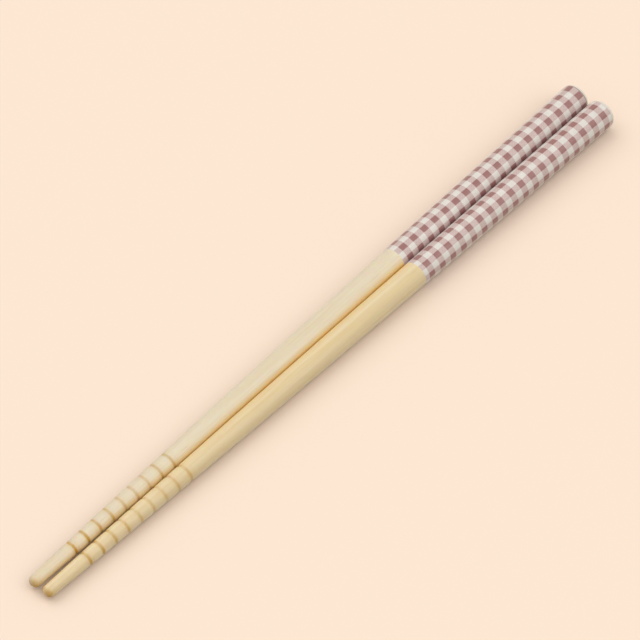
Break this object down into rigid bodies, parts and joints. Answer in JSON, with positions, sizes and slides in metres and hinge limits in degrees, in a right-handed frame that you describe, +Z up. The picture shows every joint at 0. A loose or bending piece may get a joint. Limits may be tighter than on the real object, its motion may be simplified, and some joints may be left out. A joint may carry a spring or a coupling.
{
  "type": "pair of wooden chopsticks",
  "caption": "Pair of turned wooden chopsticks lying side by side: tapered round sticks with ring grooves behind the tip and a gingham printed grip.",
  "frame": {"origin": "centre of the pair's footprint, on the surface that the sticks lie on", "axes": "+X along the pair from the tips to the butts, +Y to the left stick, +Z up"},
  "size_m": [0.21, 0.0166, 0.0082],
  "materials": {
    "wood": "clear lacquer, gingham film on the grip"
  },
  "bodies": {
    "root": {"left_chopstick": "wood", "right_chopstick": "wood"}
  },
  "joints": []
}
